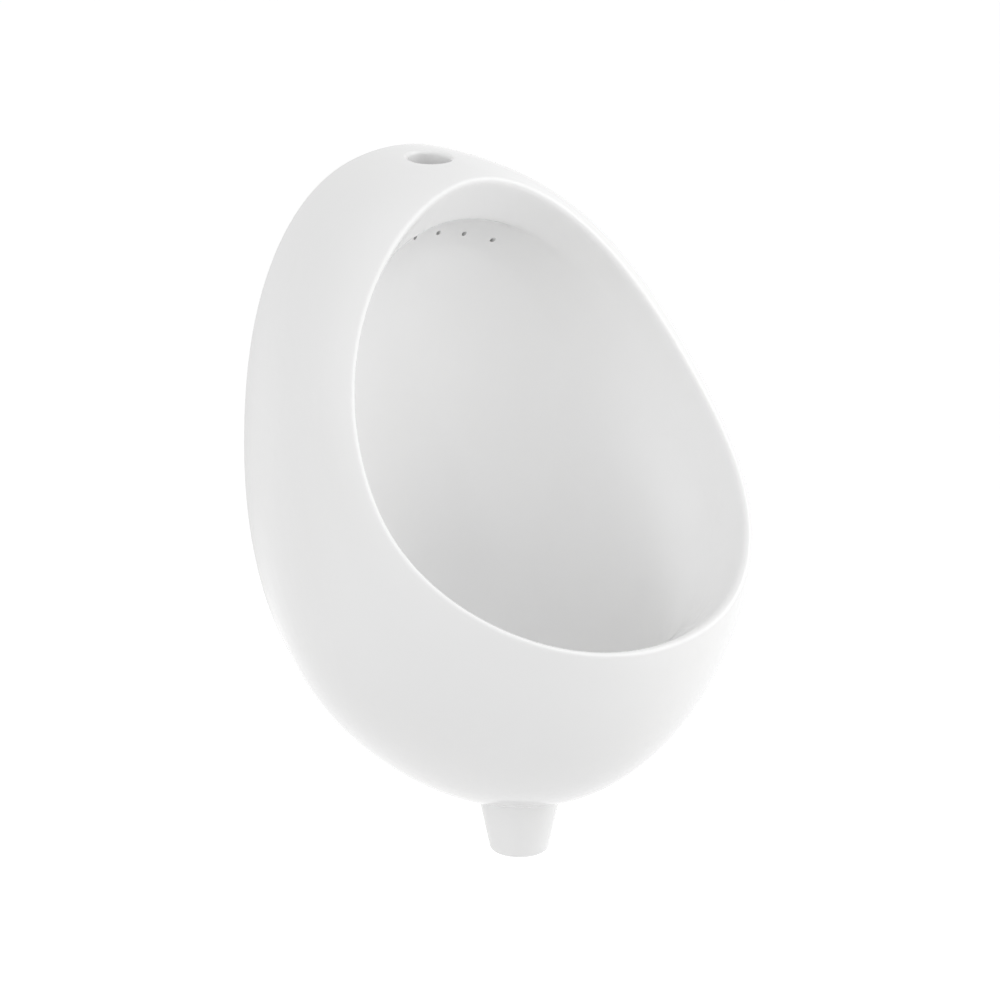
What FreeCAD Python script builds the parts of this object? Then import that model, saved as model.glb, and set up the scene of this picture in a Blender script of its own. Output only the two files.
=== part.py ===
"""Wall hung urinal in vitreous china, with its outlet strainer and its wall hangers.

Millimetres. The wall is the plane Y = 0, the bowl stands out from it towards -Y, X runs across and Z is up.
The origin is the middle of the four wall fixings. Places on the casting are worked out as
(across, out from the wall, drop below the top edge) and turned into X, Y, Z by place().
"""
import FreeCAD
import Part
import math
import os

# ---------------------------------------------------------------- driving sizes

# from the top edge of the casting to the tip of its outlet horn
overall_height = 500.0

# back outline of the casting, where its rim of china meets the wall
back_width = 281.0
back_foot_rise = 67.0
back_height = overall_height - back_foot_rise
back_widest_drop = 208.0
back_upper_power = 2.33
back_lower_power = 1.98

# mouth: the crest of the rolled rim, an egg pointing up that leans forward at its foot
mouth_width = 334.5
mouth_top_drop = 8.0
mouth_foot_rise = 191.5
mouth_bottom_drop = overall_height - mouth_foot_rise
mouth_widest_drop = 202.5
mouth_upper_power = 1.82
mouth_lower_power = 2.13
mouth_top_projection = 85.5
mouth_bottom_projection = 286.0
mouth_hollow = 175.0
mouth_sway = 51.5

# china and rim
china_thickness = 10.0
rim_thickness = 8.0
rim_roll = 4.5
rim_set_back = 2.5
rim_solid_depth = 24.0
hollow_neck_across = 14.0
hollow_neck_depth = 26.0
hollow_skirt_taper = 60.0
sump_wall = 6.0

# how the skirt leaves the wall and reaches the rim, at the top, side, lower corner and foot:
# (spread past the outline, run out from the wall)
skirt_at_wall = ((1.0, 28.0), (3.0, 23.0), (27.0, 56.0), (64.0, 115.0))
skirt_at_rim = ((6.0, 22.0), (47.0, 27.0), (137.0, 65.0), (162.0, 14.0))

# shallow groove in the skirt just outside the rim: how far along from the skirt's last stage to the crest it
# lies, and its depth at the top, side, lower corner and foot
groove_share = 0.88
groove_depth = (0.0, 0.8, 2.0, 1.5)

# drain and sump, at the lowest place of the bowl
drain_radius = 28.0
drain_rise = 80.0
drain_drop = overall_height - drain_rise
sump_radius = 48.0
sump_fall = 4.0
sump_drop = drain_drop - sump_fall

# inside of the bowl: tilted rings from the throat down to the sump, each
# (back out, back drop as a share of the drain's, front out, front rise over the drain, half width, sag)
bowl_rings = (
    (29.0, 0.157, 240.0, 74.0, 123.0, 26.0),
    (26.0, 0.381, 231.0, 50.0, 113.0, 34.0),
    (27.0, 0.679, 220.0, 31.0, 98.0, 24.0),
    (40.0, 0.912, 202.0, 14.0, 74.0, 9.0),
)

# inside of the rim, in steps from its inner edge at the sides and at the foot:
# (across the mouth, into the bowl)
inside_at_side = ((2.5, 6.0), (6.0, 13.0), (10.5, 21.0), (16.0, 30.0))
inside_at_foot = ((3.5, 7.0), (7.0, 15.0), (10.0, 25.0), (12.0, 37.0))

# hood of the flush box, which overhangs the back of the bowl
hood_half_angle = 48.0
hood_into = 24.0
hood_across = 22.0
hood_middle_share = 0.5
hood_brow_share = 0.93
hood_lip_roll = 2.5
hood_lip_depth = 2.0
hood_under_step = 8.0
hood_under_depth = 18.0

# flush box and spray holes
flush_box_half_width = 74.0
flush_box_back = 10.0
flush_box_depth = 11.0
flush_box_shoulder_drop = 31.0
flush_box_bottom_drop = 84.0
flush_block_margin = 10.0
inlet_box_half_width = 38.0
inlet_box_margin = 2.0
inlet_box_top_drop = 15.0
inlet_box_bottom_drop = 33.0
spray_hole_radius = 1.75
spray_hole_pitch = 22.0
spray_hole_count = 6
spray_hole_top_drop = 58.5
spray_hole_fall = 0.0036

# inlet on the top face
inlet_out = 40.0
inlet_radius = 15.5
inlet_edge_radius = 3.0

# outlet horn
outlet_out = 136.5
outlet_bore_radius = 14.5
outlet_mouth_radius = 16.0
outlet_mouth_length = 40.0
horn_tip_radius = 21.0
horn_root_radius = 28.5
horn_length = 36.0
horn_tip_rounding = 4.0
horn_root_rounding = 2.5

# strainer
seat_radius = 25.0
seat_depth = 6.0
seal_thickness = 2.0
seal_width = 6.0
seal_gap = 0.3
strainer_thickness = 1.5
strainer_flat_radius = 5.0
strainer_dome_radius = 19.0
strainer_inner_ring = 8.5
strainer_outer_ring = 15.0
strainer_crown = 5.0
strainer_shoulder = 1.5
strainer_hole_radius = 2.5
strainer_inner_holes = 6
strainer_outer_holes = 12
strainer_edge_gap = 0.5
clip_leg_length = 18.0
clip_leg_width = 7.0
clip_thickness = 1.2
clip_gap = 0.4
clip_hub_radius = 6.5
clip_hub_setback = 1.0
clip_legs = 3
screw_cap_radius = 4.2
screw_cap_crown_radius = 3.6
screw_cap_height = 2.2
screw_slot_width = 1.2
screw_slot_depth = 1.1
strainer_screw_radius = 2.5
strainer_screw_length = 14.0
thread_gap = 0.05

# wall hangers
hanger_drop = 150.0
hanger_pitch = 176.0
fixing_pitch = 30.0
bracket_width = 34.0
bracket_thickness = 3.0
bracket_height = 66.0
tongue_height = 13.0
lug_thickness = 12.0
lug_height = 44.0
lug_inner_end = 46.0
lug_gap = 0.5
pad_thickness = 2.5
pad_edge = 1.0
corner_radius = 6.0

# wall fixings
screw_radius = 3.0
screw_neck_radius = 2.75
screw_length = 50.0
screw_point = 7.0
screw_tip_radius = 0.4
screw_head_flats = 10.0
screw_head_height = 4.0
washer_radius = 6.4
washer_thickness = 1.6
hole_clearance = 0.4
head_gap = 2.4

# how far a cutting tool runs past the face it cuts
overrun = 1.0

# how near a size or a height lies to the one looked for, when edges are picked out
match_gap = 0.01

# ---------------------------------------------------------------- casting surfaces

columns = 24
spline_swell = 3.0 / (2.0 + math.cos(2.0 * math.pi / columns))
angles = [math.pi / 2.0 + 2.0 * math.pi * i / columns for i in range(columns)]


def place(point):
    """The X, Y, Z place of a point given as (across, out from the wall, drop below the top edge)."""
    return FreeCAD.Vector(point.x, -point.y, hanger_drop - point.z)


def at(across, out, drop):
    return FreeCAD.Vector(across, out, drop)


def signed_power(value, power):
    return math.copysign(abs(value) ** power, value)


def egg(angle, half_width, top, bottom, widest, upper_power, lower_power):
    """A point (across, drop) of an egg outline, two superellipse halves; angle 0 is the top."""
    sine, cosine = math.sin(angle), math.cos(angle)
    power = upper_power if cosine > 0 else lower_power
    reach = widest - top if cosine > 0 else bottom - widest
    across = half_width * signed_power(sine, 2.0 / power)
    drop = widest - reach * signed_power(cosine, 2.0 / power)
    middle = (top + bottom) / 2.0
    return across * spline_swell, middle + (drop - middle) * spline_swell


def mouth_projection(drop):
    """How far the rim's crest stands out from the wall at a drop, and how fast that grows with the drop."""
    height = mouth_bottom_drop - mouth_top_drop
    share = (drop - mouth_top_drop) / height
    bow = share * (1.0 - share)
    lean = 1.0 - 2.0 * share
    out = (mouth_top_projection + (mouth_bottom_projection - mouth_top_projection) * share
           - mouth_hollow * bow + mouth_sway * bow * lean)
    growth = (mouth_bottom_projection - mouth_top_projection
              - mouth_hollow * lean + mouth_sway * (lean * lean - 2.0 * bow))
    return out, growth / height


def turn_from_top(angle):
    """Degrees between an angle round the outline and its top."""
    return math.degrees(math.acos(max(-1.0, min(1.0, math.cos(angle)))))


def blend_round(angle, values):
    """Ease between values set at the top, side, lower corner and foot of the outline."""
    stations = (0.0, 90.0, 135.0, 180.0)
    turn = turn_from_top(angle)
    for start, end, low, high in zip(stations, stations[1:], values, values[1:]):
        if turn <= end:
            share = (turn - start) / (end - start)
            share = share * share * (3.0 - 2.0 * share)
            return low + (high - low) * share
    return values[-1]


def unit(vector):
    return vector.multiply(1.0 / vector.Length)


def back_row(inset, out):
    row = []
    for angle in angles:
        across, drop = egg(angle, back_width / 2.0 - inset, inset, back_height - inset,
                           back_widest_drop, back_upper_power, back_lower_power)
        row.append(at(across, out, drop))
    return row


def crest_row():
    row = []
    for angle in angles:
        across, drop = egg(angle, mouth_width / 2.0, mouth_top_drop, mouth_bottom_drop,
                           mouth_widest_drop, mouth_upper_power, mouth_lower_power)
        row.append(at(across, mouth_projection(drop)[0], drop))
    return row


def rim_frames(crest):
    """For each column of the rim: the way across the mouth and the way into the bowl."""
    frames = []
    centre = at(0, 0, mouth_widest_drop)
    for index, point in enumerate(crest):
        along = crest[(index + 1) % columns] - crest[index - 1]
        slope = mouth_projection(point.z)[1]
        into = unit(at(0, -1.0, slope))
        across = unit(along.cross(into))
        if across.dot(centre - point) < 0:
            across = across.multiply(-1.0)
        frames.append((across, into))
    return frames


def skirt_rows(inset, out_at_wall, crest):
    """Rows that carry the skirt from the wall to the crest given."""
    back = back_row(inset, out_at_wall)
    near_wall, near_rim = [], []
    for angle, start, end in zip(angles, back, crest):
        radial = at(math.sin(angle), 0, -math.cos(angle))
        spread = blend_round(angle, [pair[0] for pair in skirt_at_wall])
        run = blend_round(angle, [pair[1] for pair in skirt_at_wall])
        near_wall.append(start + radial * spread + at(0, run, 0))
        spread = blend_round(angle, [pair[0] for pair in skirt_at_rim])
        run = blend_round(angle, [pair[1] for pair in skirt_at_rim])
        shrink = 1.0 - inset / hollow_skirt_taper
        near_rim.append(end + radial * spread * shrink - at(0, run * shrink, 0))
    return [back, near_wall, near_rim, crest]


def grooved(skirt):
    """The skirt's rows with one more beside the crest, sunk into the china to leave the groove there."""
    back, near_wall, near_rim, crest = skirt
    rows = [back, [], [], [], crest]
    for i in range(columns):
        stages = [back[i], near_wall[i], near_rim[i], crest[i]]
        for row, start, end in zip(rows[1:4], stages, stages[1:]):
            row.append(start + (end - start) * groove_share)
        along = crest[(i + 1) % columns] - crest[i - 1]
        outwards = unit(along.cross(crest[i] - near_rim[i]))
        if outwards.dot(near_rim[i] - at(0, near_rim[i].y, mouth_widest_drop)) < 0:
            outwards = outwards * -1.0
        rows[3][i] -= outwards * blend_round(angles[i], groove_depth)
    return rows


def ring_row(back, front, half_width, sag, grow=0.0, sink=0.0):
    """A tilted oval from its back to its front, made larger by grow and pushed along its own axis by sink."""
    chord = unit(front - back)
    axis = at(0, -chord.z, chord.y)
    back = back - chord * grow
    front = front + chord * grow
    middle = (back + front) * 0.5 + axis * sink
    half = (back - front) * 0.5
    row = []
    for angle in angles:
        sideways = at((half_width + grow) * math.sin(angle), 0, 0)
        deeper = axis * (sag * math.sin(angle) ** 2)
        row.append(middle + (half * math.cos(angle) + sideways) * spline_swell + deeper)
    return row


def bowl_row(ring, grow=0.0, sink=0.0):
    back_out, back_share, front_out, front_rise, half_width, sag = ring
    back, front = at(0, back_out, drain_drop * back_share), at(0, front_out, drain_drop - front_rise)
    return ring_row(back, front, half_width, sag, grow, sink)


def sump_row(radius, drop):
    return ring_row(at(0, outlet_out - radius, drop), at(0, outlet_out + radius, drop), radius, 0.0)


def hood_share(angle):
    """How much of the hood there is: all of it at the top, none past its half angle."""
    return 1.0 - min(1.0, turn_from_top(angle) / hood_half_angle) ** 2


def inner_rows(inner_edge, frames):
    """Rows that carry the glaze from the rim's inner edge, over the hood, down to the drain."""
    rows = [inner_edge, [], [], [], []]
    for angle, edge, (across, into) in zip(angles, inner_edge, frames):
        share = hood_share(angle)
        lip = into * hood_into + across * (hood_across * share)
        hood = (lip * hood_middle_share, lip * hood_brow_share,
                lip + into * hood_lip_depth + across * hood_lip_roll,
                lip + into * hood_under_depth - across * hood_under_step)
        for row, hood_step, side, foot in zip(rows[1:], hood, inside_at_side, inside_at_foot):
            over = blend_round(angle, (side[0], side[0], side[0], foot[0]))
            down = blend_round(angle, (side[1], side[1], side[1], foot[1]))
            plain_step = across * over + into * down
            row.append(edge + hood_step * share + plain_step * (1.0 - share))
    for ring in bowl_rings:
        rows.append(bowl_row(ring))
    rows.append(sump_row(sump_radius, sump_drop))
    rows.append(sump_row(drain_radius, drain_drop))
    return rows


def outer_bowl_rows(start, inner_edge, frames):
    """Rows round the outside of the bowl, one china thickness off its inside."""
    turn_row = []
    for edge, (across, into) in zip(inner_edge, frames):
        turn_row.append(edge + across * hollow_neck_across + into * hollow_neck_depth)
    rows = [start, turn_row]
    for index, ring in enumerate(bowl_rings):
        sink = china_thickness * index / len(bowl_rings)
        rows.append(bowl_row(ring, china_thickness, sink))
    rows.append(sump_row(sump_radius + sump_wall, sump_drop + china_thickness))
    rows.append(sump_row(drain_radius, drain_drop + china_thickness))
    return rows


def surface(rows, stages=None):
    """A smooth closed band through rows of control points, round in one way and clamped in the other.

    The stages are the values at which its spans meet, evenly spaced unless given."""
    poles = [[place(row[column]) for row in rows] for column in range(columns)]
    stages = stages or [float(i) for i in range(len(rows) - 2)]
    band = Part.BSplineSurface()
    band.buildFromPolesMultsKnots(
        poles, [1] * (columns + 1), [4] + [1] * (len(stages) - 2) + [4],
        [float(i) for i in range(columns + 1)], stages,
        True, False, 3, 3)
    return band


def closed_solid(bands):
    """Bands joined edge to edge, with flat caps over the first and the last edge."""
    faces = [band.toShape() for band in bands]
    first = bands[0].vIso(bands[0].bounds()[2])
    last = bands[-1].vIso(bands[-1].bounds()[3])
    caps = [Part.Face(Part.Wire([curve.toShape()])) for curve in (first, last)]
    shell = Part.makeShell(faces + caps)
    shell.sewShape()
    solid = Part.makeSolid(Part.Shell(shell.Faces))
    if solid.Volume < 0:
        solid.reverse()
    return solid


def casting_bands(crest, frames):
    """Rows of the skirt, the rolled rim and the inside, from the wall to the drain."""
    skirt = grooved(skirt_rows(0.0, 0.0, crest))
    inner_edge = [point + across * rim_thickness + into * rim_set_back
                  for point, (across, into) in zip(crest, frames)]
    inside = inner_rows(inner_edge, frames)
    leave = [crest[i] + unit(crest[i] - skirt[-2][i]) * rim_roll for i in range(columns)]
    arrive = [inner_edge[i] + unit(inner_edge[i] - inside[1][i]) * rim_roll for i in range(columns)]
    return skirt, [crest, leave, arrive, inner_edge], inside


def casting_mass():
    """The casting as if its back were filled, and the hollow in its back."""
    crest = crest_row()
    frames = rim_frames(crest)
    skirt, rim, inside = casting_bands(crest, frames)
    inner_edge = inside[0]
    mass = closed_solid([surface(skirt, [0.0, groove_share, 1.0]), surface(rim), surface(inside)])

    hollow_edge = [point + across * (rim_thickness * 0.5) + into * rim_solid_depth
                   for point, (across, into) in zip(crest, frames)]
    hollow_skirt = skirt_rows(china_thickness, -2.0 * overrun, hollow_edge)
    hollow_bowl = outer_bowl_rows(hollow_edge, inner_edge, frames)
    hollow = closed_solid([surface(hollow_skirt), surface(hollow_bowl)])
    return mass, hollow


# ---------------------------------------------------------------- solids


def box(left, right, near_wall, far_out, top, bottom):
    """A block between two places across, two distances out from the wall and two drops."""
    corner = place(at(left, far_out, bottom))
    return Part.makeBox(right - left, far_out - near_wall, bottom - top, corner)


def turned(profile, out=0.0, across=0.0):
    """A solid turned round an upright axis from (radius, drop) points joined by straight edges."""
    centre = place(at(across, out, 0.0))
    points = [centre + FreeCAD.Vector(radius, 0, -drop) for radius, drop in profile]
    face = Part.Face(Part.makePolygon(points + points[:1]))
    return face.revolve(centre, FreeCAD.Vector(0, 0, 1), 360)


def rod(start, end, radius):
    """A cylinder between two X, Y, Z points."""
    along = end - start
    return Part.makeCylinder(radius, along.Length, start, along)


def circle_edges(shape, radius, height):
    """Full circular edges of a radius that lie at a height."""
    found = []
    for edge in shape.Edges:
        curve = edge.Curve
        if isinstance(curve, Part.Circle) and abs(curve.Radius - radius) < match_gap:
            if abs(curve.Center.z - height) < match_gap:
                found.append(edge)
    return found


def horn():
    """The tapered spigot under the sump, with a rounded mouth."""
    root_drop = overall_height - horn_length
    growth = (horn_root_radius - horn_tip_radius) / horn_length
    top_radius = horn_root_radius + growth * (root_drop - drain_drop)
    spigot = turned([(0, drain_drop), (top_radius, drain_drop),
                     (horn_tip_radius, overall_height), (0, overall_height)], outlet_out)
    tip = circle_edges(spigot, horn_tip_radius, hanger_drop - overall_height)
    return spigot.makeFillet(horn_tip_rounding, tip)


def flush_block(mass):
    half = flush_box_half_width + flush_block_margin
    bottom = flush_box_bottom_drop + flush_block_margin
    return mass.common(box(-half, half, 0.0, mouth_top_projection + rim_solid_depth, 0.0, bottom))


def lug_back():
    """How far out the lugs start, clear of the screw heads behind them."""
    return bracket_thickness + washer_thickness + screw_head_height + head_gap


def lug_bottom():
    """How far the lugs' undersides lie below the middle of the fixings: on a pad on the hanger's tongue."""
    return bracket_height / 2.0 - bracket_thickness - pad_thickness


def lugs(hollow):
    """China bridges in the hollow back, one each side, that hook over the wall hangers."""
    found = []
    bottom = hanger_drop + lug_bottom()
    for side in (-1, 1):
        ends = sorted((side * lug_inner_end, side * back_width / 2.0))
        bridge = box(ends[0], ends[1], lug_back(), lug_back() + lug_thickness, bottom - lug_height, bottom)
        found.append(hollow.common(bridge))
    return found


def cast_edges(turned_faces):
    """Edges where turned faces leave the cast surface: neither their own circles nor their seams."""
    return [edge for face in turned_faces for edge in face.Edges
            if not isinstance(edge.Curve, (Part.Circle, Part.Line))]


def horn_root_edges(cast):
    """Edges where the outside of the horn meets the underside of the bowl."""
    cones = [face for face in cast.Faces if isinstance(face.Surface, Part.Cone)]
    return cast_edges([min(cones, key=lambda face: face.CenterOfMass.z)])


def inlet_rim_edges(cast):
    """Edges where the inlet hole comes out of the top face."""
    return cast_edges([face for face in cast.Faces if isinstance(face.Surface, Part.Cylinder)
                       and abs(face.Surface.Radius - inlet_radius) < match_gap])


def drilled(out, drops, radius, across=0.0):
    """An upright cylinder between two drops, to cut a hole with."""
    return rod(place(at(across, out, drops[0])), place(at(across, out, drops[1])), radius)


def spray_holes():
    holes = []
    for index in range(spray_hole_count):
        across = (index - (spray_hole_count - 1) / 2.0) * spray_hole_pitch
        drop = spray_hole_top_drop + spray_hole_fall * across * across
        start = place(at(across, flush_box_back + flush_box_depth - overrun, drop))
        holes.append(rod(start, place(at(across, mouth_top_projection, drop)), spray_hole_radius))
    return holes


def bowl():
    mass, hollow = casting_mass()
    cast = mass.cut(hollow)
    cast = cast.fuse([flush_block(mass), horn()] + lugs(hollow))
    cast = cast.makeFillet(horn_root_rounding, horn_root_edges(cast))

    flush_box = box(-flush_box_half_width, flush_box_half_width,
                    flush_box_back, flush_box_back + flush_box_depth,
                    flush_box_shoulder_drop, flush_box_bottom_drop)
    inlet_box = box(-inlet_box_half_width, inlet_box_half_width,
                    flush_box_back, inlet_out + inlet_radius + inlet_box_margin,
                    inlet_box_top_drop, inlet_box_bottom_drop)
    inlet = drilled(inlet_out, (-china_thickness, inlet_box_top_drop + overrun), inlet_radius)
    cast = cast.cut([flush_box.fuse(inlet_box), inlet])
    cast = cast.makeFillet(inlet_edge_radius, inlet_rim_edges(cast))

    past_tip = overall_height + overrun
    seat = drilled(outlet_out, (drain_drop - seat_depth, drain_drop + seat_depth), seat_radius)
    bore = drilled(outlet_out, (drain_drop, past_tip), outlet_bore_radius)
    mouth = drilled(outlet_out, (overall_height - outlet_mouth_length, past_tip), outlet_mouth_radius)
    return cast.cut([seat, bore, mouth] + spray_holes())


# ---------------------------------------------------------------- strainer


def seat_drop():
    return drain_drop + seat_depth


def strainer_underside():
    return seat_drop() - seal_thickness


def strainer_seal():
    outer = seat_radius - seal_gap
    top, bottom = seat_drop() - seal_thickness, seat_drop()
    return turned([(outer - seal_width, top), (outer, top), (outer, bottom), (outer - seal_width, bottom)],
                  outlet_out)


def dome_line(offset):
    """Flat top, arched shoulder and start of the flange, as (radius, drop) points of an arc and its ends."""
    top = strainer_underside() - strainer_thickness - strainer_crown + offset
    foot = strainer_underside() - strainer_thickness + offset
    middle_radius = (strainer_flat_radius + strainer_dome_radius) / 2.0
    return (strainer_flat_radius, top), (middle_radius, top + strainer_shoulder), (strainer_dome_radius, foot)


def outlet_strainer():
    """A domed round grating with two rings of holes and a hole for its screw."""
    centre = place(at(0, outlet_out, 0))
    rim = seat_radius - strainer_edge_gap

    def spot(pair):
        return centre + FreeCAD.Vector(pair[0], 0, -pair[1])

    upper, lower = dome_line(0.0), dome_line(strainer_thickness)
    top, middle, foot = [spot(pair) for pair in upper]
    low_top, low_middle, low_foot = [spot(pair) for pair in lower]
    apex = spot((0, upper[0][1]))
    low_apex = spot((0, lower[0][1]))
    edge = spot((rim, upper[2][1]))
    low_edge = spot((rim, lower[2][1]))
    lines = [Part.makeLine(apex, top), Part.Arc(top, middle, foot).toShape(), Part.makeLine(foot, edge),
             Part.makeLine(edge, low_edge), Part.makeLine(low_edge, low_foot),
             Part.Arc(low_foot, low_middle, low_top).toShape(), Part.makeLine(low_top, low_apex),
             Part.makeLine(low_apex, apex)]
    plate = Part.Face(Part.Wire(lines)).revolve(centre, FreeCAD.Vector(0, 0, 1), 360)
    depth = (seat_drop(), upper[0][1] - overrun)
    drills = [drilled(outlet_out, depth, strainer_screw_radius + thread_gap)]
    rings = ((strainer_inner_holes, strainer_inner_ring), (strainer_outer_holes, strainer_outer_ring))
    for count, ring in rings:
        for index in range(count):
            turn = 2.0 * math.pi * index / count
            across, out = ring * math.sin(turn), outlet_out + ring * math.cos(turn)
            drills.append(drilled(out, depth, strainer_hole_radius, across))
    return plate.cut(drills)


def strainer_screw():
    """A pan head screw through the grating, with a slot in its head."""
    seat = dome_line(0.0)[0][1]
    crown = seat - screw_cap_height
    head = turned([(0, seat), (screw_cap_radius, seat), (screw_cap_crown_radius, crown), (0, crown)],
                  outlet_out)
    shank = drilled(outlet_out, (seat, seat + strainer_screw_length), strainer_screw_radius)
    slot = box(-screw_cap_radius, screw_cap_radius,
               outlet_out - screw_slot_width / 2.0, outlet_out + screw_slot_width / 2.0,
               crown - overrun, crown + screw_slot_depth)
    return head.fuse(shank).cut(slot)


def strainer_clip():
    """Three sprung legs on a tapped hub, inside the outlet bore."""
    top = dome_line(0.0)[0][1] + strainer_screw_length - clip_thickness - clip_hub_setback
    under = top + clip_thickness
    foot = top + clip_leg_length
    outer = outlet_bore_radius - clip_gap
    half = clip_leg_width / 2.0
    hub = drilled(outlet_out, (under, top), clip_hub_radius)
    inner = outer - clip_thickness
    reach = turned([(inner, top), (outer, top), (outer, foot), (inner, foot)], outlet_out)
    arms = []
    for index in range(clip_legs):
        leg = box(-half, half, outlet_out, outlet_out + outer, top, foot).common(reach)
        arm = box(-half, half, outlet_out, outlet_out + outer - clip_thickness / 2.0, top, under)
        both = leg.fuse(arm)
        both.rotate(place(at(0, outlet_out, top)), FreeCAD.Vector(0, 0, 1), 360.0 / clip_legs * index)
        arms.append(both)
    hole = drilled(outlet_out, (under + overrun, top - overrun), strainer_screw_radius + thread_gap)
    return hub.fuse(arms).cut(hole).removeSplitter()


# ---------------------------------------------------------------- hangers and fixings


def fixing_places():
    """X and Z of the four wall fixings."""
    return [(x * hanger_pitch / 2.0, z * fixing_pitch / 2.0) for x in (-1, 1) for z in (-1, 1)]


def along_y(x, z, near, far, radius):
    """A cylinder square to the wall, from Y = near to Y = far."""
    return rod(FreeCAD.Vector(x, near, z), FreeCAD.Vector(x, far, z), radius)


def hanger_bracket(side):
    """A pressed hanger: a plate on the wall whose foot turns out and up into a tongue."""
    middle = side * hanger_pitch / 2.0
    left, right = middle - bracket_width / 2.0, middle + bracket_width / 2.0
    bottom = hanger_drop + bracket_height / 2.0
    front = lug_back() + lug_thickness + lug_gap + bracket_thickness
    plate = box(left, right, 0.0, bracket_thickness, bottom - bracket_height, bottom)
    foot = box(left, right, 0.0, front, bottom - bracket_thickness, bottom)
    tongue_top = bottom - bracket_thickness - tongue_height
    tongue = box(left, right, front - bracket_thickness, front, tongue_top, bottom)
    strip = plate.fuse([foot, tongue]).removeSplitter()
    low = hanger_drop - bottom
    outer = [edge for edge in strip.Edges
             if abs(edge.Length - bracket_width) < match_gap and abs(edge.CenterOfMass.z - low) < match_gap]
    strip = strip.makeFillet(bracket_thickness, outer)
    corners = [edge for edge in strip.Edges
               if abs(edge.Length - bracket_thickness) < match_gap
               and edge.CenterOfMass.z > bracket_height / 2.0 - match_gap
               and abs(edge.tangentAt(edge.FirstParameter).y) > 0.9]
    strip = strip.makeFillet(corner_radius, corners)
    holes = [along_y(x, z, overrun, -bracket_thickness - overrun, screw_radius + hole_clearance)
             for x, z in fixing_places() if x * side > 0]
    return strip.cut(holes)


def hanger_pads():
    """A rubber pad on each hanger's foot, under the lug."""
    bottom = hanger_drop + lug_bottom() + pad_thickness
    found = []
    for side in (-1, 1):
        middle = side * hanger_pitch / 2.0
        half = bracket_width / 2.0 - pad_edge
        found.append(box(middle - half, middle + half, bracket_thickness + lug_gap,
                         lug_back() + lug_thickness, bottom - pad_thickness, bottom))
    return Part.makeCompound(found)


def hanger_washers():
    near, far = -bracket_thickness, -bracket_thickness - washer_thickness
    found = []
    for x, z in fixing_places():
        hole = along_y(x, z, near + overrun, far - overrun, screw_radius + hole_clearance)
        found.append(along_y(x, z, near, far, washer_radius).cut(hole))
    return Part.makeCompound(found)


def hexagon(x, z, y, flats, length):
    """A hexagonal prism square to the wall, from Y = y outwards from the wall."""
    corner = flats / math.sqrt(3.0)
    turns = [math.pi * i / 3.0 for i in range(7)]
    points = [FreeCAD.Vector(x + corner * math.cos(turn), y, z + corner * math.sin(turn)) for turn in turns]
    return Part.Face(Part.makePolygon(points)).extrude(FreeCAD.Vector(0, -length, 0))


def hanger_screws():
    """Hexagon head wood screws: a thin neck through the hanger, thread and point in the wall."""
    seat = -bracket_thickness - washer_thickness
    thread_end = seat + screw_length - screw_point
    found = []
    for x, z in fixing_places():
        head = hexagon(x, z, seat, screw_head_flats, screw_head_height)
        neck = along_y(x, z, seat, 0.0, screw_neck_radius)
        thread = along_y(x, z, 0.0, thread_end, screw_radius)
        point = Part.makeCone(screw_radius, screw_tip_radius, screw_point,
                              FreeCAD.Vector(x, thread_end, z), FreeCAD.Vector(0, 1, 0))
        found.append(head.fuse([neck, thread, point]).removeSplitter())
    return Part.makeCompound(found)


# ---------------------------------------------------------------- all pieces


def main():
    os.makedirs("parts", exist_ok=True)
    pieces = {
        "bowl": bowl(),
        "strainer_seal": strainer_seal(),
        "outlet_strainer": outlet_strainer(),
        "strainer_screw": strainer_screw(),
        "strainer_clip": strainer_clip(),
        "hanger_bracket_left": hanger_bracket(-1),
        "hanger_bracket_right": hanger_bracket(1),
        "hanger_pads": hanger_pads(),
        "hanger_washers": hanger_washers(),
        "hanger_screws": hanger_screws(),
    }
    for name, shape in pieces.items():
        print(name, shape.isValid(), len(shape.Solids), "solids", round(shape.Volume / 1e3, 3), "cm3")
        shape.exportStep("parts/" + name + ".step")


main()
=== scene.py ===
"""Looks of a wall hung urinal: white glazed china bowl, its outlet strainer and its wall hangers.

Metres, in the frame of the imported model: the wall is the plane Y = 0, the bowl stands out towards -Y and Z is
up. The sections follow the fitting of the real thing: the view, the hangers and their screws, the bowl that
is hooked over them, the strainer in its outlet, then the floor, the tent and the lamp.
"""
import bmesh
import bpy
import math
from mathutils import Matrix, Vector


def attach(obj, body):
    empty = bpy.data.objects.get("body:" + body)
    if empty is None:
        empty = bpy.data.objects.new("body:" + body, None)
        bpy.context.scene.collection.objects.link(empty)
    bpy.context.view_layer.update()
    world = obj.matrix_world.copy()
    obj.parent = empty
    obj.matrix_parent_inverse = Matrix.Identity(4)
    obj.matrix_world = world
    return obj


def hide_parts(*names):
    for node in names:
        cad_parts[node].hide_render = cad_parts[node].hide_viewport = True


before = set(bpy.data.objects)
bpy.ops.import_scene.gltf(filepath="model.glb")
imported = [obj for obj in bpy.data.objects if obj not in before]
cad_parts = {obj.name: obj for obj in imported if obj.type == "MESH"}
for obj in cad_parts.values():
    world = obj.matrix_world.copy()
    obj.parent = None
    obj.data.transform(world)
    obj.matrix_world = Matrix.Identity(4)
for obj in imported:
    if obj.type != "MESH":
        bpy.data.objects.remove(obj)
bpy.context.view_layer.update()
scene = bpy.context.scene

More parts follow.
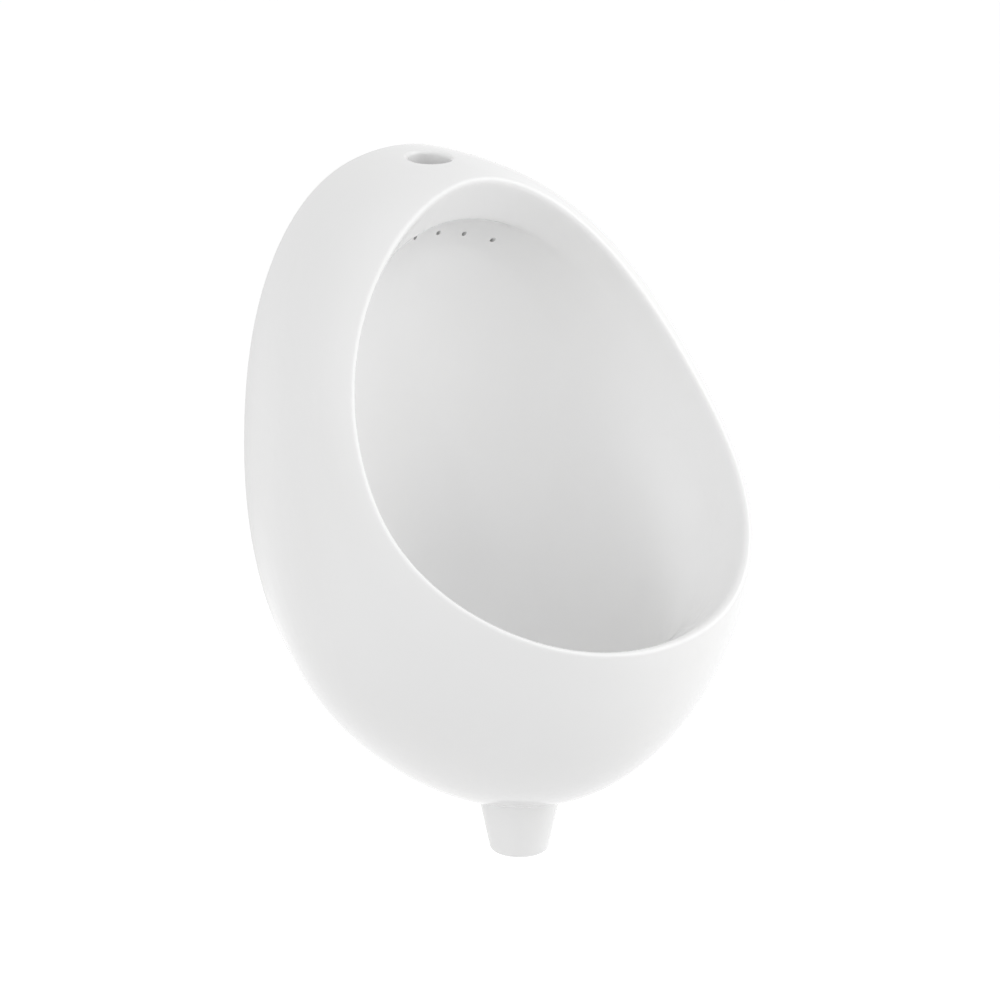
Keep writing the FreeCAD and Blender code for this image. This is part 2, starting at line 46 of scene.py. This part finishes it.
# ---------------------------------------------------------------- the view
# The urinal is seen from its left front, a little from above, and hangs in the middle of the picture.
# The aim is a point inside the bowl, moved a little so that the outline has its right place in the picture.
view_turn = 42.0
view_lift = 17.0
view_distance = 2.8
view_lens = 141.8
view_film = 36.0
view_near = 0.05
view_far = 30.0
aim_point = Vector((0.0, -0.140, -0.095))
aim_right = -0.0164
aim_up = 0.0108


def direction(turn, lift):
    """The way from the bowl to what stands turned to the left of its front and lifted, both in degrees."""
    turn, lift = math.radians(turn), math.radians(lift)
    return Vector((-math.sin(turn) * math.cos(lift), -math.cos(turn) * math.cos(lift), math.sin(lift)))


towards_camera = direction(view_turn, view_lift)
camera_right = Vector((math.cos(math.radians(view_turn)), -math.sin(math.radians(view_turn)), 0.0))
camera_up = towards_camera.cross(camera_right)
camera = bpy.data.objects.new("view", bpy.data.cameras.new("view"))
camera.data.lens = view_lens
camera.data.sensor_width = view_film
camera.data.clip_start = view_near
camera.data.clip_end = view_far
aim = aim_point + camera_right * aim_right + camera_up * aim_up
camera.location = aim + towards_camera * view_distance
camera.rotation_mode = "QUATERNION"
camera.rotation_quaternion = Matrix((camera_right, camera_up, towards_camera)).transposed().to_quaternion()
scene.collection.objects.link(camera)
scene.camera = camera

# ---------------------------------------------------------------- hangers
# Two strips of 3 mm steel, pressed into a plate with a foot and an upturned tongue, zinc plated and screwed
# to the wall. The plating is bright, with a faint bluish and straw tint in clouds, and fine rolling lines
# run along the strip.
zinc_pale = (0.66, 0.675, 0.69, 1.0)
zinc_blue = (0.52, 0.57, 0.63, 1.0)
zinc_straw = (0.66, 0.62, 0.50, 1.0)


class Level:
    """A value that changes over a surface, so that the maths of a finish reads as plain sums."""

    def __init__(self, nodes, socket):
        self.nodes = nodes
        self.socket = socket

    def sum(self, operation, first, second):
        return self.nodes.node("ShaderNodeMath", {"operation": operation}, {0: first, 1: second})

    def __add__(self, other):
        return self.sum("ADD", self, other)

    def __sub__(self, other):
        return self.sum("SUBTRACT", self, other)

    def __rsub__(self, other):
        return self.sum("SUBTRACT", other, self)

    def __mul__(self, other):
        return self.sum("MULTIPLY", self, other)

    __radd__ = __add__
    __rmul__ = __mul__

    def spread(self, low, high, to_low, to_high):
        """This value taken from one range to another, held at its ends."""
        return self.nodes.node("ShaderNodeMapRange", {"interpolation_type": "SMOOTHSTEP"},
                               {0: self, 1: low, 2: high, 3: to_low, 4: to_high})


class Nodes:
    """The shader nodes of a finish or of the tent."""

    def __init__(self, tree):
        self.tree = tree

    def node(self, kind, settings, values, output=0):
        """A node of a kind with its settings, its sockets joined or set, and one of its outputs."""
        made = self.tree.nodes.new(kind)
        for name, value in settings.items():
            setattr(made, name, value)
        for name, value in values.items():
            if isinstance(value, Level):
                self.tree.links.new(value.socket, made.inputs[name])
            else:
                made.inputs[name].default_value = value
        return Level(self, made.outputs[output])


class Finish(Nodes):
    """A finish on the coordinates of the piece itself, with its constants set on the shader."""

    def __init__(self, name, constants):
        self.material = bpy.data.materials.new(name)
        self.material.use_nodes = True
        super().__init__(self.material.node_tree)
        self.shader = self.tree.nodes["Principled BSDF"]
        for socket, value in constants.items():
            self.shader.inputs[socket].default_value = value
        self.coordinates = self.node("ShaderNodeTexCoord", {}, {}, "Object")

    def clouds(self, scale, detail=2.0, stretch=(1.0, 1.0, 1.0)):
        """Soft random blots, scale of them to a metre, drawn out by the stretch."""
        place = self.node("ShaderNodeMapping", {}, {"Vector": self.coordinates, "Scale": stretch})
        return self.node("ShaderNodeTexNoise", {}, {"Vector": place, "Scale": scale, "Detail": detail})

    def mix(self, share, first, second):
        """A colour between two colours."""
        return self.node("ShaderNodeMix", {"data_type": "RGBA"}, {0: share, 6: first, 7: second}, 2)

    def relief(self, height, depth):
        return self.node("ShaderNodeBump", {}, {"Height": height, "Distance": depth, "Strength": 1.0})

    def feed(self, levels):
        for socket, level in levels.items():
            self.tree.links.new(level.socket, self.shader.inputs[socket])

    def cover(self, piece):
        piece.data.materials.clear()
        piece.data.materials.append(self.material)


zinc = Finish("bright_zinc_plating", {"Metallic": 1.0})
tint = zinc.clouds(38.0, 3.0)
lines = zinc.clouds(160.0, 2.0, (1.0, 1.0, 0.04))
grain = zinc.clouds(900.0, 3.0)
bluish = zinc.mix(tint.spread(0.42, 0.70, 0.0, 1.0), zinc_pale, zinc_blue)
zinc.feed({
    "Base Color": zinc.mix(tint.spread(0.40, 0.28, 0.0, 0.7), bluish, zinc_straw),
    "Roughness": lines * 0.14 + grain * 0.08 + 0.24,
    "Normal": zinc.relief(lines * 0.6 + grain * 0.4, 0.00006),
})
for name in ("hanger_bracket_left", "hanger_bracket_right"):
    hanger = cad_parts[name]
    zinc.cover(hanger)

# ---------------------------------------------------------------- washers of the wall screws
# Four stamped steel washers lie between the hangers and the screw heads. They are zinc plated in a barrel,
# so they are duller than the hangers and finely dented all over.
washer_zinc = Finish("barrel_zinc_plating", {"Metallic": 1.0})
dents = washer_zinc.clouds(1400.0, 2.0)
washer_zinc.feed({
    "Base Color": washer_zinc.mix(washer_zinc.clouds(220.0), zinc_pale, zinc_straw),
    "Roughness": dents.spread(0.3, 0.7, 0.30, 0.48),
    "Normal": washer_zinc.relief(dents, 0.00005),
})
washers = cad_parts["hanger_washers"]
washer_zinc.cover(washers)

# ---------------------------------------------------------------- wall screws
# Four hexagon head wood screws of 6 mm, cold headed with a rolled thread, zinc plated, driven through the
# hangers into the wall. One tree makes a screw from its sizes, with head, neck, core, thread and point, and
# puts it on the four fixing places. The chamfer and the point reach a little into what they stand on.
fixing_places = [Vector((x, 0.0, z)) for x in (-0.088, 0.088) for z in (-0.015, 0.015)]
screw_sizes = {
    "Head Seat": 0.0046,
    "Head Flats": 0.0100,
    "Head Height": 0.0040,
    "Head Chamfer": 0.0007,
    "Neck Radius": 0.00275,
    "Core Radius": 0.0022,
    "Thread Radius": 0.0030,
    "Thread Pitch": 0.0026,
    "Thread Length": 0.0384,
    "Point Length": 0.0070,
    "Tip Radius": 0.0002,
    "Overlap": 0.0001,
}
head_sides = 6
round_sides = 32
thread_steps = 28
ridge_sides = 3


class Tree:
    """A Geometry Nodes tree with named inputs for sizes."""

    def __init__(self, name, sizes):
        self.group = bpy.data.node_groups.new(name, "GeometryNodeTree")
        face = self.group.interface
        face.new_socket("Geometry", in_out="INPUT", socket_type="NodeSocketGeometry")
        face.new_socket("Geometry", in_out="OUTPUT", socket_type="NodeSocketGeometry")
        face.new_socket("Finish", in_out="INPUT", socket_type="NodeSocketMaterial")
        for size in sizes:
            face.new_socket(size, in_out="INPUT", socket_type="NodeSocketFloat")
        self.start = self.group.nodes.new("NodeGroupInput")
        self.end = self.group.nodes.new("NodeGroupOutput")

    def size(self, name):
        return self.start.outputs[name]

    def add(self, kind, settings, values, output=0):
        """A node of a kind with its settings, its sockets joined or set, and one of its outputs."""
        made = self.group.nodes.new(kind)
        for name, value in settings.items():
            setattr(made, name, value)
        for name, value in values.items():
            socket = made.inputs[name]
            for given in value if isinstance(value, list) else [value]:
                if isinstance(given, bpy.types.NodeSocket):
                    self.group.links.new(given, socket)
                else:
                    socket.default_value = given
        return made.outputs[output]

    def sum(self, operation, first, second):
        return self.add("ShaderNodeMath", {"operation": operation}, {0: first, 1: second})

    def along(self, value):
        """A vector along Z."""
        return self.add("ShaderNodeCombineXYZ", {}, {"Z": value})

    def moved(self, geometry, offset):
        """A form moved along Z."""
        return self.add("GeometryNodeTransform", {},
                        {"Geometry": geometry, "Translation": self.along(offset)})

    def cone(self, sides, bottom, top, height):
        return self.add("GeometryNodeMeshCone", {},
                        {"Vertices": sides, "Radius Bottom": bottom, "Radius Top": top, "Depth": height})


def plain_mesh(piece, name):
    """The result of a piece's modifiers as a plain mesh on a new object, which takes the old one's place."""
    evaluated = piece.evaluated_get(bpy.context.evaluated_depsgraph_get())
    made = bpy.data.objects.new(name, bpy.data.meshes.new_from_object(evaluated))
    scene.collection.objects.link(made)
    bpy.data.objects.remove(piece)
    return made


screw = Tree("wood_screw", screw_sizes)
seat = screw.size("Head Seat")
core_radius = screw.size("Core Radius")
thread_length = screw.size("Thread Length")
overlap = screw.size("Overlap")

corner = screw.sum("DIVIDE", screw.size("Head Flats"), math.sqrt(3.0))
block = screw.sum("SUBTRACT", screw.size("Head Height"), screw.size("Head Chamfer"))
head = screw.moved(screw.cone(head_sides, corner, corner, block),
                   screw.sum("MULTIPLY", screw.sum("ADD", seat, block), -1.0))
crown = screw.sum("SUBTRACT", corner, screw.size("Head Chamfer"))
bevel = screw.sum("ADD", screw.size("Head Chamfer"), overlap)
chamfer = screw.moved(screw.cone(head_sides, crown, corner, bevel),
                      screw.sum("MULTIPLY", screw.sum("ADD", seat, screw.size("Head Height")), -1.0))
neck_radius = screw.size("Neck Radius")
neck = screw.moved(screw.cone(round_sides, neck_radius, neck_radius, seat), screw.sum("MULTIPLY", seat, -1.0))
core = screw.cone(round_sides, core_radius, core_radius, thread_length)
taper = screw.sum("ADD", screw.size("Point Length"), overlap)
point = screw.moved(screw.cone(round_sides, core_radius, screw.size("Tip Radius"), taper),
                    screw.sum("SUBTRACT", thread_length, overlap))

turns = screw.sum("DIVIDE", thread_length, screw.size("Thread Pitch"))
path = screw.add("GeometryNodeCurveSpiral", {}, {
    "Resolution": thread_steps, "Rotations": turns,
    "Start Radius": core_radius, "End Radius": core_radius, "Height": thread_length})
path = screw.add("GeometryNodeSetCurveNormal", {"mode": "Z_UP"}, {"Curve": path})
ridge_height = screw.sum("SUBTRACT", screw.size("Thread Radius"), core_radius)
ridge = screw.add("GeometryNodeCurvePrimitiveCircle", {"mode": "RADIUS"},
                  {"Resolution": ridge_sides, "Radius": ridge_height})
thread = screw.add("GeometryNodeCurveToMesh", {}, {"Curve": path, "Profile Curve": ridge, "Fill Caps": True})

whole = screw.add("GeometryNodeJoinGeometry", {}, {"Geometry": [head, chamfer, neck, core, point, thread]})
on_places = screw.add("GeometryNodeInstanceOnPoints", {}, {
    "Points": screw.size("Geometry"), "Instance": whole, "Rotation": (-math.pi / 2.0, 0.0, 0.0)})
solid = screw.add("GeometryNodeRealizeInstances", {}, {"Geometry": on_places})
screw.group.links.new(
    screw.add("GeometryNodeSetMaterial", {}, {"Geometry": solid, "Material": screw.size("Finish")}),
    screw.end.inputs["Geometry"])

screw_zinc = Finish("screw_zinc_plating", {"Metallic": 1.0})
wear = screw_zinc.clouds(600.0, 3.0)
screw_zinc.feed({
    "Base Color": screw_zinc.mix(wear.spread(0.35, 0.65, 0.0, 1.0), zinc_pale, zinc_blue),
    "Roughness": wear.spread(0.3, 0.7, 0.22, 0.42),
    "Normal": screw_zinc.relief(wear, 0.00003),
})
places_mesh = bpy.data.meshes.new("fixing_places")
places_mesh.from_pydata(fixing_places, [], [])
screws = bpy.data.objects.new("fixing_places", places_mesh)
scene.collection.objects.link(screws)
maker = screws.modifiers.new("screws", "NODES")
maker.node_group = screw.group
for item in screw.group.interface.items_tree:
    if item.name in screw_sizes:
        maker[item.identifier] = screw_sizes[item.name]
    elif item.name == "Finish":
        maker[item.identifier] = screw_zinc.material
screws = plain_mesh(screws, "wall_screws")
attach(screws, "wall_hangers")
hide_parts("hanger_screws")

# ---------------------------------------------------------------- pads
# A strip of black rubber lies on each hanger's foot, so that the china doesn't stand on bare steel.
# Moulded matt rubber, with a bloom of talc and a fine texture.
pad_black = (0.030, 0.030, 0.031, 1.0)
pad_bloom = (0.085, 0.085, 0.082, 1.0)
pad_rubber = Finish("pad_rubber", {"Specular IOR Level": 0.35})
bloom = pad_rubber.clouds(90.0, 4.0)
pimples = pad_rubber.clouds(1500.0, 1.0)
pad_rubber.feed({
    "Base Color": pad_rubber.mix(bloom.spread(0.45, 0.75, 0.0, 1.0), pad_black, pad_bloom),
    "Roughness": bloom.spread(0.3, 0.7, 0.55, 0.78),
    "Normal": pad_rubber.relief(pimples, 0.00012),
})
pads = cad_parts["hanger_pads"]
pad_rubber.cover(pads)

# ---------------------------------------------------------------- bowl
# Vitreous china, slip cast in one piece, sprayed with a white opaque glaze and fired. The glaze is glass
# smooth over all that shows, with a very slight wave. The foot that stands on the wall is ground bare, and
# the hollow behind the bowl has only the thin dull wash that reaches it.
weld = 2e-6
crease_angle = math.radians(32.0)
wall_touch = 5e-6
glaze_white = (0.880, 0.880, 0.880, 1.0)
glaze_warm = (0.872, 0.871, 0.868, 1.0)
bisque = (0.70, 0.672, 0.612, 1.0)
bisque_dust = (0.60, 0.575, 0.53, 1.0)

china = bmesh.new()
china.from_mesh(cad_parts["bowl"].data)
bmesh.ops.remove_doubles(china, verts=china.verts, dist=weld)
for edge in china.edges:
    edge.smooth = len(edge.link_faces) == 2 and edge.calc_face_angle(0.0) < crease_angle
foot = set()
for face in china.faces:
    face.smooth = True
    if all(abs(vert.co.y) < wall_touch for vert in face.verts):
        foot.add(face)

# from the tip of the horn the glaze spreads over every face until it meets the foot; what it leaves is bare
lowest = min(china.verts, key=lambda vert: vert.co.z)
glazed = set()
reached = list(lowest.link_faces)
while reached:
    face = reached.pop()
    if face in glazed or face in foot:
        continue
    glazed.add(face)
    reached.extend(other for edge in face.edges for other in edge.link_faces)
bare = [0.0 if face in glazed else 1.0 for face in china.faces]
bowl_mesh = bpy.data.meshes.new("glazed_bowl")
china.to_mesh(bowl_mesh)
china.free()
if "custom_normal" in bowl_mesh.attributes:
    bowl_mesh.attributes.remove(bowl_mesh.attributes["custom_normal"])
bowl_mesh.attributes.new("unglazed", "FLOAT", "FACE").data.foreach_set("value", bare)
bowl = bpy.data.objects.new("glazed_bowl", bowl_mesh)
scene.collection.objects.link(bowl)

glaze = Finish("white_glaze", {"IOR": 1.52})
unglazed = glaze.node("ShaderNodeAttribute", {"attribute_name": "unglazed"}, {}, "Fac")
pooling = glaze.clouds(7.0, 2.0)
wave = glaze.clouds(26.0, 1.0)
peel = glaze.clouds(320.0, 1.0)
grit = glaze.clouds(1500.0, 4.0)
smear = glaze.clouds(24.0, 4.0)
white = glaze.mix(pooling.spread(0.35, 0.65, 0.0, 1.0), glaze_white, glaze_warm)
raw = glaze.mix(smear.spread(0.4, 0.7, 0.0, 1.0), bisque, bisque_dust)
glossy = peel * 0.03 + pooling * 0.04 + 0.06
glaze.feed({
    "Base Color": glaze.mix(unglazed, white, raw),
    "Roughness": (1.0 - unglazed) * glossy + unglazed * (grit * 0.15 + 0.68),
    "Normal": glaze.relief((1.0 - unglazed) * (wave * 0.8 + peel * 0.02) + unglazed * grit, 0.00015),
})
glaze.cover(bowl)
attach(bowl, "bowl_body")
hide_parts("bowl")

# ---------------------------------------------------------------- strainer seal
# A flat ring of moulded black rubber, which lies in the seat of the outlet under the edge of the grating.
# It is a little glossier than the pads, with a fine texture.
seal_rubber = Finish("seal_rubber", {"Specular IOR Level": 0.4})
damp = seal_rubber.clouds(140.0, 3.0)
seal_rubber.feed({
    "Base Color": seal_rubber.mix(damp, pad_black, pad_bloom),
    "Roughness": damp.spread(0.3, 0.7, 0.38, 0.6),
    "Normal": seal_rubber.relief(seal_rubber.clouds(1100.0, 1.0), 0.00005),
})
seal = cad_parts["strainer_seal"]
seal_rubber.cover(seal)

# ---------------------------------------------------------------- strainer grating and its screw
# A pressed and drilled disc of stainless steel, polished on a wheel, so that faint rings run round its
# middle. A slotted pan head screw of the same steel holds it.
outlet_middle = Vector((0.0, -0.1365, 0.0))
steel_light = (0.78, 0.78, 0.785, 1.0)
steel_dark = (0.60, 0.605, 0.61, 1.0)
polished = Finish("polished_steel", {"Metallic": 1.0})
centred = polished.node("ShaderNodeMapping", {},
                        {"Vector": polished.coordinates, "Location": -outlet_middle})
rings = polished.node("ShaderNodeTexWave", {"wave_type": "RINGS", "rings_direction": "Z"},
                      {"Vector": centred, "Scale": 420.0, "Distortion": 1.2, "Detail": 3.0}, "Fac")
marks = polished.clouds(180.0, 4.0)
polished.feed({
    "Base Color": polished.mix(marks.spread(0.35, 0.75, 0.0, 1.0), steel_light, steel_dark),
    "Roughness": rings * 0.05 + marks * 0.10 + 0.08,
    "Normal": polished.relief(rings, 0.000012),
})
for name in ("outlet_strainer", "strainer_screw"):
    steel_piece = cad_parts[name]
    polished.cover(steel_piece)

# ---------------------------------------------------------------- strainer clip
# Three sprung legs on a tapped hub, bent from stainless strip, that hold the grating in the middle of the
# outlet. The screw pulls the hub up. The strip keeps its dull rolled face.
strip_steel = Finish("rolled_strip_steel", {"Metallic": 1.0})
rolled = strip_steel.clouds(240.0, 3.0, (1.0, 1.0, 0.08))
strip_steel.feed({
    "Base Color": strip_steel.mix(rolled, steel_light, steel_dark),
    "Roughness": rolled.spread(0.3, 0.7, 0.26, 0.44),
    "Normal": strip_steel.relief(rolled, 0.00003),
})
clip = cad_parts["strainer_clip"]
strip_steel.cover(clip)

# ---------------------------------------------------------------- floor and tent
# A plain pale floor lies well below the bowl, and a white tent all round gives the light, so that the china
# is soft all over. Two panels of the tent are brighter, each fading out over a wide angle, and a tall soft
# box at the right of the front draws the thin light line along the rolled rim. Seen straight or in the
# gloss, floor and tent are plain white.
floor_drop = -0.9
floor_reach = 14.0
floor_colour = (0.86, 0.86, 0.86, 1.0)
floor_roughness = 0.9
floor_glow = 0.38
black = (0.0, 0.0, 0.0, 1.0)
white_light = (1.0, 1.0, 1.0, 1.0)
tent_light = 0.60
panel_edge = math.cos(math.radians(60.0))
panels = {"high right": (-60.0, 48.0, 0.12), "left": (78.0, 3.0, 0.95)}
box_turn = -50.0
box_lift = 24.0
box_distance = 1.6
box_width = 1.5
box_height = 2.3
box_power = 14.5


def open_view(nodes):
    """1 for what the camera sees straight, in the gloss or through glass, and 0 for the light on things."""
    paths = [nodes.node("ShaderNodeLightPath", {}, {}, ray)
             for ray in ("Is Camera Ray", "Is Glossy Ray", "Is Transmission Ray")]
    return paths[0] + paths[1] + paths[2]


floor_mesh = bpy.data.meshes.new("studio_floor")
floor_mesh.from_pydata([(x * floor_reach, y * floor_reach, floor_drop)
                        for x, y in ((-1, -1), (1, -1), (1, 1), (-1, 1))], [], [(0, 1, 2, 3)])
floor = bpy.data.objects.new("studio_floor", floor_mesh)
scene.collection.objects.link(floor)
pale_floor = Finish("pale_floor", {
    "Base Color": floor_colour, "Roughness": floor_roughness, "Emission Strength": floor_glow})
pale_floor.feed({"Emission Color": pale_floor.mix(open_view(pale_floor), black, white_light)})
pale_floor.cover(floor)

tent = bpy.data.worlds.new("tent")
scene.world = tent
tent.use_nodes = True
air = Nodes(tent.node_tree)
towards = air.node("ShaderNodeTexCoord", {}, {}, "Generated")
soft_light = tent_light
for turn, lift, level in panels.values():
    facing = air.node("ShaderNodeVectorMath", {"operation": "DOT_PRODUCT"},
                      {0: towards, 1: direction(turn, lift)}, "Value")
    soft_light = soft_light + facing.spread(panel_edge, 1.0, 0.0, level)
plain_view = open_view(air)
strength = plain_view + (1.0 - plain_view) * soft_light
backdrop = tent.node_tree.nodes["Background"]
backdrop.inputs["Color"].default_value = white_light
tent.node_tree.links.new(strength.socket, backdrop.inputs["Strength"])

soft_box = bpy.data.objects.new("soft_box", bpy.data.lights.new("soft_box", "AREA"))
soft_box.data.shape = "RECTANGLE"
soft_box.data.size = box_width
soft_box.data.size_y = box_height
soft_box.data.energy = box_power
towards_box = direction(box_turn, box_lift)
soft_box.location = aim_point + towards_box * box_distance
soft_box.rotation_mode = "QUATERNION"
soft_box.rotation_quaternion = towards_box.to_track_quat("Z", "Y")
scene.collection.objects.link(soft_box)

scene.view_settings.view_transform = "Standard"
